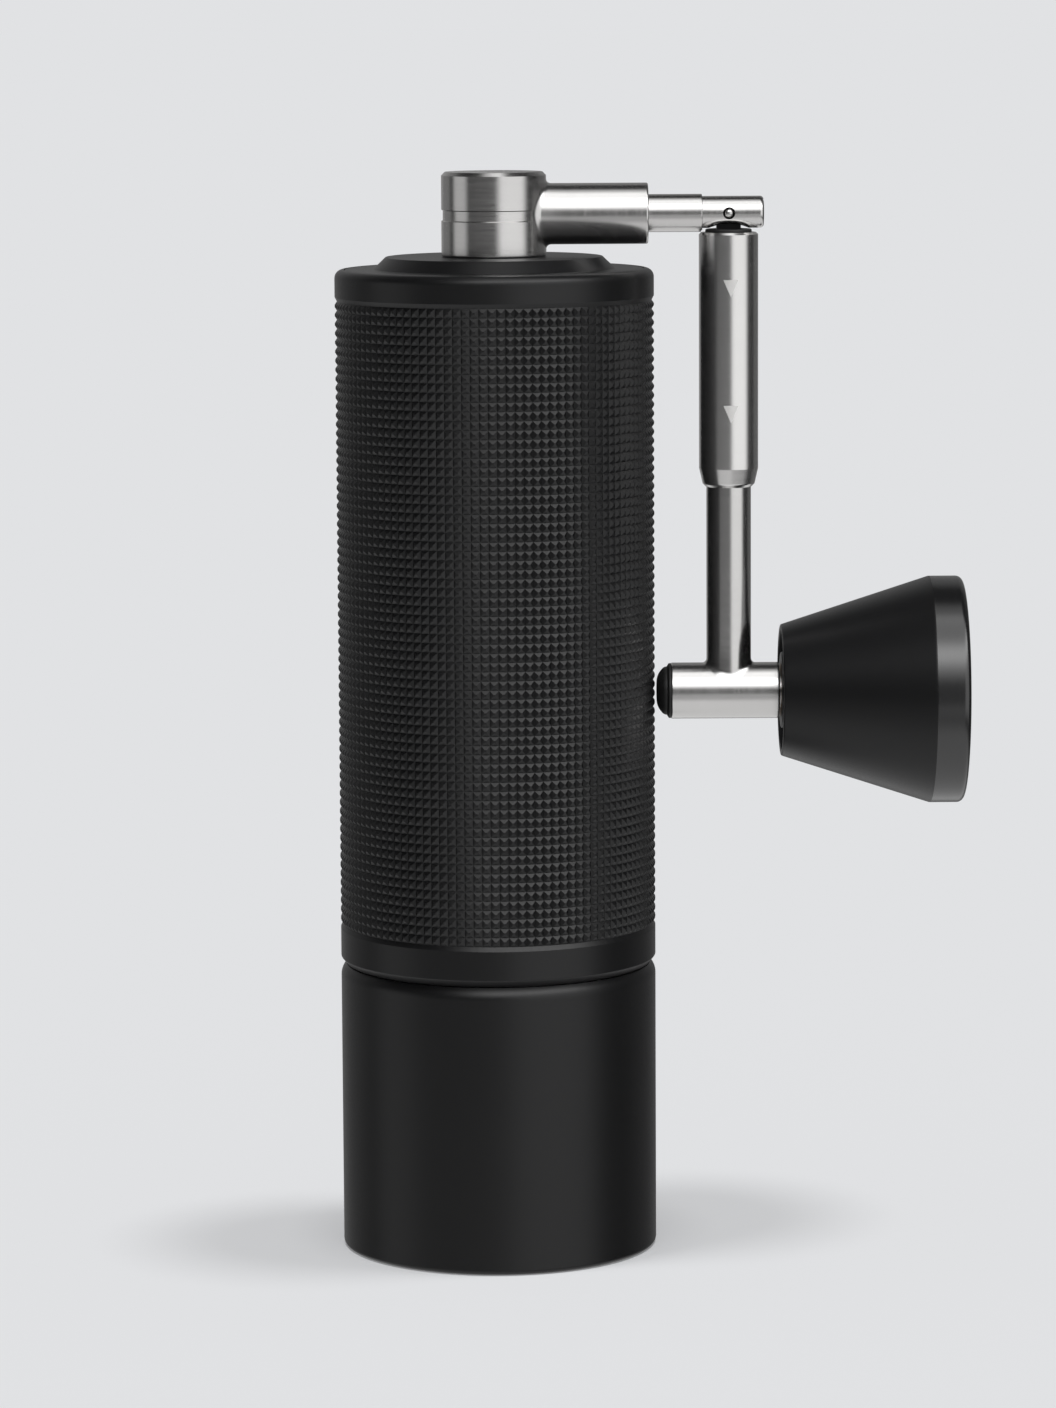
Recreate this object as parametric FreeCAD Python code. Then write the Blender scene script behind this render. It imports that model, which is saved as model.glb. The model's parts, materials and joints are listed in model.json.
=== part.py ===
import FreeCAD, Part
import math
import os

# Hand crank coffee grinder with a fold-away crank handle.
# Millimetres, +Z up. The origin is the centre of the cup's base, on the body axis.
# The crank arm points along +X and its folded handle hangs beside the shell.

Vec = FreeCAD.Vector
X_AXIS = Vec(1, 0, 0)
Y_AXIS = Vec(0, 1, 0)
Z_AXIS = Vec(0, 0, 1)

# ---- fits -----------------------------------------------------------------------
press_gap = 0.02          # radial, pieces pressed together
run_gap = 0.05            # radial, shaft in a bush or bore
seat_gap = 0.05           # faces that rest on each other across a joint
free_gap = 0.3            # pieces that pass each other without touching
slide_gap = 0.08          # radial, lock sleeve on the rod and on the stub
circlip_groove = 0.5      # depth of every circlip's groove
circlip_reach = 1.5       # circlip standing out of its shaft

# ---- body: cup, shell and what is pressed in the shell --------------------------
body_radius = 26.5
groove_depth = 0.9        # parting groove between cup and shell
cup_height = 48.1
parting_gap = 0.2
shell_length = 116.3
cup_wall = 2.55
cup_floor = 2.4
shell_wall = 2.3
base_rounding = 0.8
shoulder_height = 1.0
shoulder_rounding = 2.6
chamfer_height = 1.1
rim_rounding = 1.4        # upper outer edge of the shell
rim_wall = 1.6            # shell's wall beside the lid's flange
lid_flange_height = 2.0

neck_length = 7.3         # threaded neck of the burr housing, inside the cup
thread_gap = 0.1
gasket_section = 0.6      # radius of the cup gasket's round section
gasket_below_shell = 1.2
housing_above_neck = 23.7
neck_wall = 2.84
throat_step = 1.5         # ring burr's seat, radial
throat_floor = 9.0        # ring burr's seat above the shell's lower end
web_floor = 12.7          # underside of the bearing lip above the shell's lower end
web_height = 8.5
web_spoke_width = 5.0
bearing_lip = 1.5
lip_bore_radius = 9.3

bearing_outer_radius = 11.0
bearing_bore_radius = 4.0
bearing_width = 7.0
race_thickness = 2.0
ball_radius = 1.4
ball_count = 7

bridge_below_rim = 24.5   # underside of the bearing bridge below the top of the shell
bridge_height = 8.5
bridge_rim = 2.0
bridge_spoke_width = 4.0
bridge_hub_wall = 2.5

# ---- burr set and grind adjustment ----------------------------------------------
ring_burr_height = 13.8
ring_burr_wall = 2.5      # at its foot
burr_gap = 0.5            # between the two cones at their lower ends, at rest
burr_foot_step = 1.4      # radius lost from the foot to the shoulder
burr_tip_radius = 9.5
burr_height = 17.0
burr_shoulder_height = 5.3
coarse_teeth = 6
fine_teeth = 36
coarse_groove_radius = 3.4
fine_groove_depth = 0.45
fine_groove_width = 0.9
fine_groove_lean = 20.0   # degrees
flute_lean = 28.0         # degrees
groove_reach = 3.0
burr_drop = 0.1           # inner burr's foot below the ring burr's foot
spring_pocket_radius = 6.6
spring_pocket_depth = 9.5
grub_screw_radius = 1.5
grub_screw_length = 3.4
grub_screw_count = 3
grub_screw_rise = 3.85    # screw's axis above the neck's lower end

hex_across = 6.9          # across flats, both driving ends of the shaft
shaft_thread_radius = 3.0
click_plate_radius = 12.0
click_plate_height = 2.4
click_ball_radius = 1.0
click_circle_radius = 9.0
dial_radius = 14.0
dial_height = 8.5
dial_lobes = 12
dial_lobe_cut = 2.2
dial_run_out = 4.0        # free thread below the dial, for the coarsest setting
dial_rise = 0.6           # free thread above the dial, for the finest setting
ring_height = 1.0
spring_wire = 0.5         # radius
spring_turns = 5
washer_height = 0.6

# ---- lid ------------------------------------------------------------------------
disc_inset = 6.4          # raised disc's foot inside the body's outline
disc_slope = 2.1
disc_height = 2.0
skirt_gap = 0.8
skirt_wall = 2.0
skirt_length = 6.1
seal_above_skirt = 2.0
seal_height = 1.9
seal_depth = 1.1
bush_radius = 7.0
boss_radius = 9.5
boss_length = 2.6

# ---- crank ----------------------------------------------------------------------
hub_radius = 8.7
hub_height = 13.95
hub_groove_low = 5.85
hub_groove_high = 7.75
hub_groove_depth = 0.25
hub_bevel = 0.6
stem_radius = 5.6
stem_length = 9.7
hub_washer_radius = 8.0
socket_depth = 19.4       # from the stem's lower end
shaft_tip_room = 1.0
arm_radius = 5.05
arm_height = 6.95         # arm axis above the hub's underside
arm_end_inset = 0.95      # arm's end inside the body's outline
stub_radius = 3.135
stub_tip_radius = 2.775
stub_step = 8.95          # length of the thicker part
stub_tenon = 8.0          # length pressed in the arm
tenon_step = 0.3          # radial, tenon below the stub's thin end
stub_past_pin = 5.8
stub_end_rounding = 0.6

# ---- folding handle -------------------------------------------------------------
pin_radius = 0.85
tongue_thickness = 2.4
tongue_half_width = 2.0
slot_width = 2.6
slot_web = 0.55           # metal left above the slot
slot_before_pin = 4.6
arch_half_width = 3.9     # clearance arch in the stub's underside, below the pin
arch_height = 1.05
handle_drop = 79.8        # hinge pin to the knob's axis
rod_radius = 3.725
core_radius = 2.4         # slim part of the rod inside the return spring
neck_start = 6.5          # distances from the hinge pin along the rod
core_start = 13.0
core_end = 26.0
sleeve_wall = 1.12
sleeve_start = 3.2
sleeve_length = 42.25
sleeve_guide = 14.6       # end of the narrow bore, measured from the hinge pin
sleeve_taper = 3.1
sleeve_taper_depth = 0.58
sleeve_bevel = 0.35
sleeve_spring_radius = 0.4
sleeve_spring_turns = 4
cross_radius = 4.7
cross_inner = 9.7         # cross tube, from the rod's axis towards the shell
cross_outer = 8.4         # cross tube, from the rod's axis towards the knob
bumper_length = 2.4
bumper_plug_length = 4.5
bumper_plug_radius = 2.4
bumper_flare_radius = 4.6
bumper_dome_radius = 3.95

# ---- knob -----------------------------------------------------------------------
knob_small_radius = 11.0
knob_large_radius = 19.0
knob_cone = 24.8
knob_band = 5.65
knob_edge = 1.1
knob_recess_depth = 2.2
knob_recess_outer = 10.1
knob_recess_inner = 6.4
spindle_radius = 3.0
spindle_grip = 7.0        # spindle's length inside the cross tube
knob_bush_radius = 4.5
knob_bush_length = 6.0
screw_room_radius = 8.0
screw_room_depth = 7.6
knob_washer_radius = 6.0
knob_screw_radius = 1.5
knob_screw_head_radius = 2.8
knob_screw_head = 1.8
knob_cap_radius = 12.0
knob_cap_height = 1.5

# ---- places worked out from the sizes above -------------------------------------
shell_bottom = cup_height + parting_gap
shell_top = shell_bottom + shell_length
shell_bore = body_radius - shell_wall
cup_bore = body_radius - cup_wall
groove_radius = body_radius - groove_depth
ledge_z = shell_top - lid_flange_height - seat_gap
flange_bore = body_radius - rim_wall
lid_flange_radius = flange_bore - seat_gap

neck_bottom = shell_bottom - neck_length
housing_top = shell_bottom + housing_above_neck
housing_radius = shell_bore - press_gap
neck_radius_out = cup_bore - thread_gap
ring_burr_radius = neck_radius_out - neck_wall - press_gap
throat_radius = ring_burr_radius - throat_step
burr_foot_radius = ring_burr_radius - ring_burr_wall - burr_gap
burr_shoulder_radius = burr_foot_radius - burr_foot_step
burr_seat_z = shell_bottom + throat_floor
ring_burr_top = burr_seat_z - press_gap
ring_burr_foot = ring_burr_top - ring_burr_height
web_z = shell_bottom + web_floor
lower_bearing_z = web_z + bearing_lip
burr_foot_z = ring_burr_foot - burr_drop
burr_top_z = burr_foot_z + burr_height
spring_floor_z = burr_top_z - spring_pocket_depth
click_plate_z = burr_foot_z - click_plate_height
dial_top_z = click_plate_z - seat_gap
dial_z = dial_top_z - dial_height
thread_bottom_z = dial_z - dial_run_out
shaft_bottom_z = thread_bottom_z - 2 * ring_height
thread_top_z = dial_top_z + dial_rise

bridge_z = shell_top - bridge_below_rim
upper_bearing_z = bridge_z + bearing_lip

disc_top_z = shell_top + disc_height
disc_base_radius = body_radius - disc_inset
disc_top_radius = disc_base_radius - disc_slope
skirt_radius = shell_bore - skirt_gap
hub_z = disc_top_z + seat_gap
hub_top_z = hub_z + hub_height
stem_bottom_z = hub_z - stem_length
socket_top_z = stem_bottom_z + socket_depth
shaft_top_z = socket_top_z - shaft_tip_room
boss_z = shell_top - lid_flange_height - boss_length
skirt_z = shell_top - lid_flange_height - skirt_length

neck_radius = stub_radius
guide_bore = stub_radius + slide_gap
rod_bore = rod_radius + slide_gap
sleeve_radius = rod_bore + sleeve_wall
sleeve_taper_radius = sleeve_radius - sleeve_taper_depth

arm_z = hub_z + arm_height
arm_end_x = body_radius - arm_end_inset
rod_x = body_radius + free_gap + bumper_length + cross_inner
pin_z = arm_z
knob_z = pin_z - handle_drop
cross_start_x = rod_x - cross_inner
cross_end_x = rod_x + cross_outer
knob_x = cross_end_x + free_gap
knob_length = knob_cone + knob_band
spindle_end_x = knob_x + knob_length - screw_room_depth + seat_gap


# ---- building blocks ------------------------------------------------------------
def outline(corners):
    """Closed face in the XZ plane from (radius, height) or (radius, height, rounding)."""
    count = len(corners)
    points = [Vec(c[0], 0, c[1]) for c in corners]
    starts = []
    ends = []
    middles = []
    for i in range(count):
        here = points[i]
        rounding = corners[i][2] if len(corners[i]) > 2 else 0.0
        if rounding == 0.0:
            starts.append(here)
            ends.append(here)
            middles.append(None)
            continue
        back = (points[i - 1] - here).normalize()
        on = (points[(i + 1) % count] - here).normalize()
        half = back.getAngle(on) / 2
        reach = rounding / math.tan(half)
        bisector = (back + on).normalize()
        starts.append(here + back * reach)
        ends.append(here + on * reach)
        middles.append(here + bisector * (rounding / math.sin(half) - rounding))
    edges = []
    for i in range(count):
        if middles[i] is not None:
            edges.append(Part.Arc(starts[i], middles[i], ends[i]).toShape())
        following = starts[(i + 1) % count]
        if ends[i].distanceToPoint(following) > 1e-6:
            edges.append(Part.LineSegment(ends[i], following).toShape())
    return Part.Face(Part.Wire(edges))


def turned(corners):
    """Solid of revolution about +Z."""
    return outline(corners).revolve(Vec(0, 0, 0), Z_AXIS, 360)


def along_x(shape, x, z):
    """Lay a solid turned about +Z along +X, starting at x, with its axis at height z."""
    laid = shape.copy()
    laid.Placement = FreeCAD.Placement(Vec(x, 0, z), FreeCAD.Rotation(Z_AXIS, X_AXIS))
    return laid


def tube(outer, inner, z, height):
    """Plain ring about +Z."""
    ring = Part.makeCylinder(outer, height, Vec(0, 0, z))
    return ring.cut(Part.makeCylinder(inner, height, Vec(0, 0, z)))


def circlip(radius, z):
    """Retaining ring in the groove of a shaft of the given radius."""
    return tube(radius + circlip_reach, radius - circlip_groove + press_gap, z, ring_height)


def hexagon(across, z, height):
    """Hexagonal prism about +Z, flats across given."""
    corner = across / math.sqrt(3)
    points = [Vec(corner * math.cos(k * math.pi / 3), corner * math.sin(k * math.pi / 3), z)
              for k in range(7)]
    return Part.Face(Part.makePolygon(points)).extrude(Vec(0, 0, height))


def around(shape, count, start=0.0):
    """Copies of a shape turned about +Z."""
    copies = []
    for k in range(count):
        turn = shape.copy()
        turn.rotate(Vec(0, 0, 0), Z_AXIS, start + 360.0 * k / count)
        copies.append(turn)
    return copies


def coil(radius, wire, z, height, turns, x=0.0):
    """Helical spring about a vertical line, its wire inside z and z + height."""
    pitch = (height - 2 * wire) / turns
    path = Part.makeHelix(pitch, height - 2 * wire, radius)
    section = Part.Wire(Part.makeCircle(wire, Vec(radius, 0, 0), Y_AXIS))
    spring = Part.Wire(path).makePipeShell([section], True, True)
    spring.translate(Vec(x, 0, z + wire))
    return spring


# ---- cup ------------------------------------------------------------------------
def grounds_cup():
    return turned([
        (0, 0), (body_radius, 0, base_rounding),
        (body_radius, cup_height - shoulder_height, shoulder_rounding),
        (groove_radius, cup_height), (cup_bore, cup_height),
        (cup_bore, cup_floor, 3.0), (0, cup_floor)])


def cup_gasket():
    centre = Vec(neck_radius_out - gasket_section, 0, shell_bottom - gasket_below_shell)
    circle = Part.Face(Part.Wire(Part.makeCircle(gasket_section, centre, Y_AXIS)))
    return circle.revolve(Vec(0, 0, 0), Z_AXIS, 360)


# ---- shell and what is pressed in it --------------------------------------------
def outer_shell():
    return turned([
        (groove_radius, shell_bottom), (body_radius, shell_bottom + chamfer_height, 0.3),
        (body_radius, shell_top, rim_rounding), (flange_bore, shell_top),
        (flange_bore, ledge_z), (shell_bore, ledge_z), (shell_bore, shell_bottom)])


def web_windows(inner, outer, spoke, z, height, start):
    """Three ring-sector openings between spokes."""
    ring = tube(outer, inner, z, height)
    for bar in around(Part.makeBox(outer + 1, spoke, height, Vec(0, -spoke / 2, z)), 3, start):
        ring = ring.cut(bar)
    return ring


def burr_housing():
    groove_z = shell_bottom - gasket_below_shell
    groove_floor = neck_radius_out - 2 * gasket_section - press_gap
    half_groove = gasket_section + press_gap
    body = turned([
        (ring_burr_radius + press_gap, neck_bottom), (neck_radius_out, neck_bottom, 0.4),
        (neck_radius_out, groove_z - half_groove), (groove_floor, groove_z - half_groove),
        (groove_floor, groove_z + half_groove), (neck_radius_out, groove_z + half_groove),
        (neck_radius_out, shell_bottom + seat_gap), (housing_radius, shell_bottom + seat_gap),
        (housing_radius, housing_top), (shell_bore - 1.0, housing_top),
        (throat_radius, web_z + web_height), (bearing_outer_radius + press_gap, web_z + web_height),
        (bearing_outer_radius + press_gap, lower_bearing_z), (lip_bore_radius, lower_bearing_z),
        (lip_bore_radius, web_z), (throat_radius, web_z), (throat_radius, burr_seat_z),
        (ring_burr_radius + press_gap, burr_seat_z)])
    hub_ring = bearing_outer_radius + bridge_hub_wall
    body = body.cut(web_windows(hub_ring, throat_radius, web_spoke_width, web_z, web_height, 90))
    for hole in around(screw_blank(neck_radius_out + 1), grub_screw_count, 30):
        body = body.cut(hole)
    return body


def screw_blank(reach):
    """Radial cylinder at the height of the ring burr's grub screws."""
    start = ring_burr_radius - grub_screw_length / 2
    screw = Part.makeCylinder(grub_screw_radius, reach - start)
    return along_x(screw, start, neck_bottom + grub_screw_rise)


def bearing_bridge():
    body = turned([
        (lip_bore_radius, bridge_z), (shell_bore - press_gap, bridge_z),
        (shell_bore - press_gap, bridge_z + bridge_height),
        (bearing_outer_radius + press_gap, bridge_z + bridge_height),
        (bearing_outer_radius + press_gap, upper_bearing_z), (lip_bore_radius, upper_bearing_z)])
    hub_ring = bearing_outer_radius + bridge_hub_wall
    rim = shell_bore - bridge_rim
    return body.cut(web_windows(hub_ring, rim, bridge_spoke_width, bridge_z, bridge_height, 90))


def bearing_outer(z):
    return tube(bearing_outer_radius, bearing_outer_radius - race_thickness, z, bearing_width)


def bearing_inner(z):
    return tube(bearing_bore_radius + race_thickness, bearing_bore_radius, z, bearing_width)


def bearing_balls(z):
    pitch = (bearing_outer_radius + bearing_bore_radius) / 2
    ball = Part.makeSphere(ball_radius, Vec(pitch, 0, z + bearing_width / 2))
    return Part.makeCompound(around(ball, ball_count))


# ---- burrs and adjustment -------------------------------------------------------
def ring_bore(height):
    """Bore radius of the ring burr at a height above its foot."""
    foot = burr_foot_radius + burr_gap
    shoulder = burr_shoulder_radius + burr_gap
    return foot + (shoulder - foot) * height / burr_shoulder_height


def ring_burr():
    foot = ring_burr_foot
    shoulder = foot + burr_shoulder_height
    body = turned([
        (ring_bore(0), foot), (ring_burr_radius, foot),
        (ring_burr_radius, ring_burr_top), (throat_radius - 1.0, ring_burr_top),
        (ring_bore(burr_shoulder_height), shoulder)])
    slot = Part.makeBox(groove_reach, fine_groove_width, ring_burr_height + 2,
                        Vec(ring_bore(burr_shoulder_height) - 0.5 * groove_reach,
                            -fine_groove_width / 2, foot - 1))
    for cut in around(slot, fine_teeth):
        body = body.cut(cut)
    for hole in around(screw_blank(neck_radius_out), grub_screw_count, 30):
        body = body.cut(hole)
    return body


def burr_screws():
    return Part.makeCompound(around(screw_blank(neck_radius_out - seat_gap), grub_screw_count, 30))


def inner_burr():
    shoulder_z = burr_foot_z + burr_shoulder_height
    body = turned([
        (spring_pocket_radius, burr_top_z), (burr_tip_radius, burr_top_z, 0.4),
        (burr_shoulder_radius, shoulder_z), (burr_foot_radius, burr_foot_z),
        (0, burr_foot_z), (0, spring_floor_z), (spring_pocket_radius, spring_floor_z)])
    body = body.cut(hexagon(hex_across + 2 * run_gap, burr_foot_z, burr_height))
    lean = math.degrees(math.atan2(burr_shoulder_radius - burr_tip_radius, burr_top_z - shoulder_z))
    flute = Part.makeCylinder(coarse_groove_radius, 3 * burr_height, Vec(0, 0, -burr_height))
    flute.rotate(Vec(0, 0, 0), X_AXIS, flute_lean)
    flute.rotate(Vec(0, 0, 0), Y_AXIS, -lean)
    middle = (burr_tip_radius + burr_shoulder_radius) / 2 + 0.62 * coarse_groove_radius
    flute.translate(Vec(middle, 0, (burr_top_z + shoulder_z) / 2 + 1.0))
    for cut in around(flute, coarse_teeth):
        body = body.cut(cut)
    slot = Part.makeBox(groove_reach, fine_groove_width, burr_shoulder_height * 3,
                        Vec(0, -fine_groove_width / 2, -burr_shoulder_height))
    slot.rotate(Vec(0, 0, 0), X_AXIS, fine_groove_lean)
    slot.rotate(Vec(0, 0, 0), Y_AXIS, -math.degrees(math.atan2(
        burr_foot_radius - burr_shoulder_radius, burr_shoulder_height)))
    slot.translate(Vec(burr_foot_radius - fine_groove_depth, 0, burr_foot_z))
    for cut in around(slot, fine_teeth):
        body = body.cut(cut)
    return body


def click_plate():
    plate = tube(click_plate_radius, hex_across / 2 + run_gap, click_plate_z, click_plate_height)
    plate = plate.cut(hexagon(hex_across + 2 * run_gap, click_plate_z, click_plate_height))
    dimple = Part.makeSphere(click_ball_radius, Vec(click_circle_radius, 0, click_plate_z - 0.5))
    for cut in around(dimple, 2 * dial_lobes):
        plate = plate.cut(cut)
    return plate


def adjusting_dial():
    dial = turned([
        (shaft_thread_radius + run_gap, dial_z), (dial_radius, dial_z, 0.8),
        (dial_radius, dial_top_z, 0.8), (shaft_thread_radius + run_gap, dial_top_z)])
    reach = dial_radius + 0.55 * dial_lobe_cut
    lobe = Part.makeCylinder(dial_lobe_cut, dial_height, Vec(reach, 0, dial_z))
    for cut in around(lobe, dial_lobes, 180.0 / dial_lobes):
        dial = dial.cut(cut)
    pocket_depth = 2 * click_ball_radius + 2.0
    pocket = Part.makeCylinder(click_ball_radius + run_gap, pocket_depth,
                               Vec(click_circle_radius, 0, dial_top_z - pocket_depth))
    for cut in around(pocket, 2):
        dial = dial.cut(cut)
    return dial


def click_balls():
    height = dial_top_z - click_ball_radius - seat_gap
    ball = Part.makeSphere(click_ball_radius, Vec(click_circle_radius, 0, height))
    return Part.makeCompound(around(ball, 2))


def dial_ring():
    return circlip(shaft_thread_radius, thread_bottom_z)


def drive_shaft():
    body = Part.makeCylinder(shaft_thread_radius, thread_top_z - shaft_bottom_z,
                             Vec(0, 0, shaft_bottom_z))
    body = body.cut(tube(shaft_thread_radius + 1, shaft_thread_radius - circlip_groove,
                         thread_bottom_z - seat_gap, ring_height + 2 * seat_gap))
    body = body.fuse(hexagon(hex_across, thread_top_z, lower_bearing_z - washer_height - thread_top_z))
    round_start = lower_bearing_z - washer_height
    round_end = upper_bearing_z + bearing_width + 3 * ring_height
    body = body.fuse(Part.makeCylinder(bearing_bore_radius - press_gap, round_end - round_start,
                                       Vec(0, 0, round_start)))
    drive = hexagon(hex_across, round_end, shaft_top_z - round_end)
    tip = turned([(0, round_end - 1), (bearing_bore_radius, round_end - 1),
                  (bearing_bore_radius, shaft_top_z - 1.2), (2.4, shaft_top_z), (0, shaft_top_z)])
    body = body.fuse(drive.common(tip))
    for z in circlip_heights():
        body = body.cut(tube(bearing_bore_radius + 1, bearing_bore_radius - circlip_groove,
                             z - press_gap, ring_height + 2 * press_gap))
    return body.removeSplitter()


def circlip_heights():
    """Undersides of the two shaft circlips, each just above a bearing."""
    above = bearing_width + seat_gap
    return [lower_bearing_z + above, upper_bearing_z + above]


def shaft_circlips():
    return Part.makeCompound([circlip(bearing_bore_radius, z) for z in circlip_heights()])


def spring_washer():
    return tube(lip_bore_radius - 0.6, bearing_bore_radius + run_gap,
                lower_bearing_z - washer_height - press_gap, washer_height)


def burr_spring():
    top = lower_bearing_z - washer_height - 2 * press_gap
    return coil(spring_pocket_radius - spring_wire - 0.5, spring_wire,
                spring_floor_z + press_gap, top - spring_floor_z - press_gap, spring_turns)


# ---- lid ------------------------------------------------------------------------
def lid_cover():
    flange_z = shell_top - lid_flange_height
    groove_z = skirt_z + seal_above_skirt
    groove_radius_in = skirt_radius - seal_depth
    return turned([
        (bush_radius + press_gap, boss_z), (boss_radius, boss_z), (boss_radius, flange_z, 0.8),
        (skirt_radius - skirt_wall, flange_z, 0.8), (skirt_radius - skirt_wall, skirt_z),
        (skirt_radius, skirt_z, 0.4), (skirt_radius, groove_z), (groove_radius_in, groove_z),
        (groove_radius_in, groove_z + seal_height + 2 * press_gap),
        (skirt_radius, groove_z + seal_height + 2 * press_gap), (skirt_radius, flange_z),
        (lid_flange_radius, flange_z), (lid_flange_radius, shell_top, 0.25),
        (disc_base_radius, shell_top, 0.35), (disc_top_radius, disc_top_z, 0.25),
        (bush_radius + press_gap, disc_top_z)])


def lid_seal():
    groove_z = skirt_z + seal_above_skirt
    return turned([
        (skirt_radius - seal_depth + press_gap, groove_z + press_gap),
        (shell_bore - run_gap, groove_z + press_gap, 0.5),
        (shell_bore - run_gap, groove_z + press_gap + seal_height, 0.5),
        (skirt_radius - seal_depth + press_gap, groove_z + press_gap + seal_height)])


def lid_bush():
    return tube(bush_radius, stem_radius + run_gap, boss_z, disc_top_z - boss_z)


# ---- crank ----------------------------------------------------------------------
def hub_ring_height():
    """Underside of the hub washer, which runs below the lid's boss."""
    return boss_z - seat_gap - washer_height


def crank_hub():
    groove = hub_radius - hub_groove_depth
    hub = turned([
        (0, stem_bottom_z), (stem_radius, stem_bottom_z, 0.4), (stem_radius, hub_z),
        (hub_radius, hub_z, 0.3), (hub_radius, hub_z + hub_groove_low),
        (groove, hub_z + hub_groove_low + 0.15), (groove, hub_z + hub_groove_high - 0.15),
        (hub_radius, hub_z + hub_groove_high), (hub_radius, hub_top_z - hub_bevel),
        (hub_radius - hub_bevel, hub_top_z), (0, hub_top_z)])
    clip_z = hub_ring_height() - ring_height - 2 * press_gap
    hub = hub.cut(tube(stem_radius + 1, stem_radius - circlip_groove, clip_z, ring_height + 2 * press_gap))
    arm = turned([(0, 0), (arm_radius, 0), (arm_radius, arm_end_x, 0.3), (0, arm_end_x)])
    hub = hub.fuse(along_x(arm, 0, arm_z))
    tenon_hole = Part.makeCylinder(stub_tip_radius - tenon_step, stub_tenon + 1.0)
    hub = hub.cut(along_x(tenon_hole, arm_end_x - stub_tenon - 1.0, arm_z))
    hub = hub.cut(hexagon(hex_across + 2 * run_gap, stem_bottom_z, socket_depth))
    return hub.removeSplitter()


def crank_stub():
    step_x = stub_tenon + stub_step
    end_x = stub_tenon + (rod_x + stub_past_pin - arm_end_x)
    tenon = stub_tip_radius - tenon_step - press_gap
    stub = turned([
        (0, 0), (tenon, 0), (tenon, stub_tenon),
        (stub_radius, stub_tenon, 0.2), (stub_radius, step_x, 0.15), (stub_tip_radius, step_x),
        (stub_tip_radius, end_x, stub_end_rounding), (0, end_x)])
    stub = along_x(stub, arm_end_x - stub_tenon, arm_z)
    slot_length = slot_before_pin + stub_past_pin + 1
    slot_height = 2 * stub_tip_radius - slot_web + 1
    slot = Part.makeBox(slot_length, slot_width, slot_height,
                        Vec(rod_x - slot_before_pin, -slot_width / 2, arm_z - stub_tip_radius - 1))
    hole = Part.makeCylinder(pin_radius + press_gap, 4 * stub_radius,
                             Vec(rod_x, -2 * stub_radius, pin_z), Y_AXIS)
    arch_radius = (arch_half_width ** 2 + arch_height ** 2) / (2 * arch_height)
    arch_z = arm_z - stub_tip_radius + arch_height - arch_radius
    arch = Part.makeCylinder(arch_radius, 4 * stub_radius, Vec(rod_x, -2 * stub_radius, arch_z), Y_AXIS)
    return stub.cut(slot).cut(hole).cut(arch)


def hinge_pin():
    length = 2 * stub_tip_radius - free_gap
    return Part.makeCylinder(pin_radius, length, Vec(rod_x, -length / 2, pin_z), Y_AXIS)


def hub_washer():
    return tube(hub_washer_radius, stem_radius + run_gap, hub_ring_height(), washer_height)


def hub_circlip():
    return circlip(stem_radius, hub_ring_height() - ring_height - press_gap)


# ---- folding handle -------------------------------------------------------------
def below_pin(corners):
    """Solid turned about the rod's axis from (radius, distance below the hinge pin)."""
    shape = turned([(c[0], -c[1]) + tuple(c[2:]) for c in corners])
    shape.translate(Vec(rod_x, 0, pin_z))
    return shape


def arm_rod():
    rod = below_pin([
        (0, neck_start), (neck_radius, neck_start, 0.3), (neck_radius, core_start),
        (core_radius, core_start), (core_radius, core_end), (rod_radius, core_end, 0.3),
        (rod_radius, handle_drop), (0, handle_drop)])
    width = 2 * tongue_half_width
    tongue = Part.makeBox(width, tongue_thickness, neck_start + 0.5,
                          Vec(rod_x - tongue_half_width, -tongue_thickness / 2,
                              pin_z - neck_start - 0.5))
    eye = Part.makeCylinder(tongue_half_width, tongue_thickness,
                            Vec(rod_x, -tongue_thickness / 2, pin_z), Y_AXIS)
    hole = Part.makeCylinder(pin_radius + run_gap, 4 * rod_radius,
                             Vec(rod_x, -2 * rod_radius, pin_z), Y_AXIS)
    saddle = along_x(Part.makeCylinder(cross_radius, 40), rod_x - 20, knob_z)
    return rod.fuse(tongue).fuse(eye).cut(hole).cut(saddle).removeSplitter()


def lock_sleeve():
    end = sleeve_start + sleeve_length
    return below_pin([
        (guide_bore, sleeve_start), (sleeve_radius - sleeve_bevel, sleeve_start),
        (sleeve_radius, sleeve_start + sleeve_bevel), (sleeve_radius, end - sleeve_taper, 0.6),
        (sleeve_taper_radius, end - 0.5, 0.5), (sleeve_taper_radius - 0.5, end),
        (rod_bore, end), (rod_bore, sleeve_guide), (guide_bore, sleeve_guide)])


def sleeve_spring():
    top = pin_z - sleeve_guide - press_gap
    bottom = pin_z - core_end + press_gap
    return coil(core_radius + sleeve_spring_radius + 0.15, sleeve_spring_radius,
                bottom, top - bottom, sleeve_spring_turns, rod_x)


def cross_tube():
    length = cross_inner + cross_outer
    body = turned([
        (0, 0), (cross_radius, 0, 0.2), (cross_radius, length, 0.3), (0, length)])
    body = body.cut(Part.makeCylinder(bumper_plug_radius + press_gap, bumper_plug_length + 0.5))
    spindle_hole = Part.makeCylinder(spindle_radius + press_gap, spindle_grip + 0.5,
                                     Vec(0, 0, length - spindle_grip - 0.5))
    return along_x(body.cut(spindle_hole), cross_start_x, knob_z)


def bumper():
    """Rubber plug: a dome on a short neck, flaring out to the cross tube's end."""
    plug = turned([
        (0, -bumper_length), (bumper_dome_radius, -bumper_length, 1.0),
        (bumper_dome_radius, -0.45 * bumper_length, 0.4), (bumper_flare_radius, -0.15 * bumper_length),
        (bumper_flare_radius, -press_gap), (bumper_plug_radius, -press_gap),
        (bumper_plug_radius, bumper_plug_length), (0, bumper_plug_length)])
    return along_x(plug, cross_start_x, knob_z)


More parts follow.
